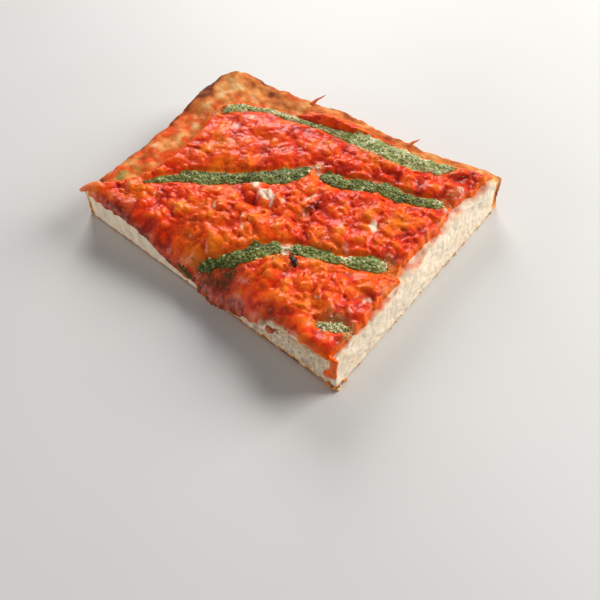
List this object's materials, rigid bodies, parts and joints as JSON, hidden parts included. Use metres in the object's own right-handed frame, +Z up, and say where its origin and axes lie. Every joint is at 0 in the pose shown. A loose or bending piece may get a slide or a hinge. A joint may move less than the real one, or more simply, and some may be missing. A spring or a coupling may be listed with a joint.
{
  "type": "focaccia pizza slice",
  "caption": "Square slice cut from the corner of a focaccia pizza: thick bread with a raised crust, a baked tomato and cheese topping, and stripes of green pesto.",
  "frame": {"origin": "middle of the flat underside, at the centre of the bounding box in plan", "axes": "+Z up from the underside, +X along the cut side on the right of the front corner, +Y along the cut side on its left towards the crust"},
  "size_m": [0.1244, 0.1434, 0.0246],
  "materials": {
    "baked_bread": "Food: open pale crumb on the cut sides, baked peach and golden brown crust on the raised rim and underside, dry and matt.",
    "tomato_and_cheese": "Food: cooked tomato sauce with melted cheese in it, orange red with deeper red hollows and yellow oil, wet and glossy.",
    "pesto": "Food: chopped green pesto with pale and dark specks, grainy, with a faint oily sheen."
  },
  "bodies": {
    "root": {"focaccia_base": "baked_bread", "tomato_cheese_topping": "tomato_and_cheese", "pesto_stripe_back": "pesto", "pesto_stripe_corner": "pesto", "pesto_stripe_front": "pesto", "pesto_stripe_middle": "pesto", "pesto_stripe_rim": "pesto"}
  },
  "joints": []
}
